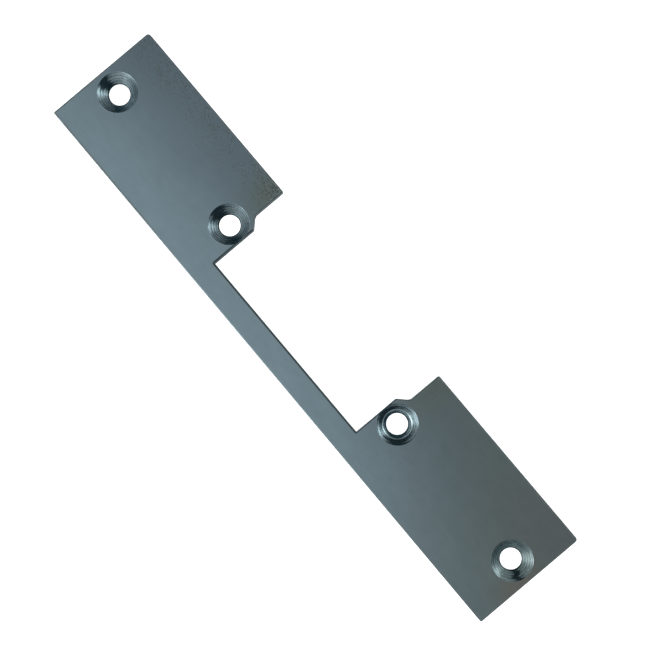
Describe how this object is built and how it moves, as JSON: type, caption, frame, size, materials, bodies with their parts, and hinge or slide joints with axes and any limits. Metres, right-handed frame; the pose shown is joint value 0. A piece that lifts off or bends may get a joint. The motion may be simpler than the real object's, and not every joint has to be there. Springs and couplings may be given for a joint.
{
  "type": "electric strike faceplate",
  "caption": "Flat steel faceplate for an electric door strike, with a notch in one long edge for the keeper and latch bolt, and countersunk screw holes along its centre line.",
  "frame": {"origin": "middle of the back face, the face that lies against the strike's body and the door frame", "axes": "+X along the plate's length, +Y towards the notched long edge, +Z out of the countersunk front face"},
  "size_m": [0.2016, 0.0382, 0.0032],
  "materials": {
    "plated_steel": "blue-grey zinc plate on strip steel, satin, with turned countersinks and darker cut edges"
  },
  "bodies": {
    "root": {"faceplate": "plated_steel"}
  },
  "joints": []
}
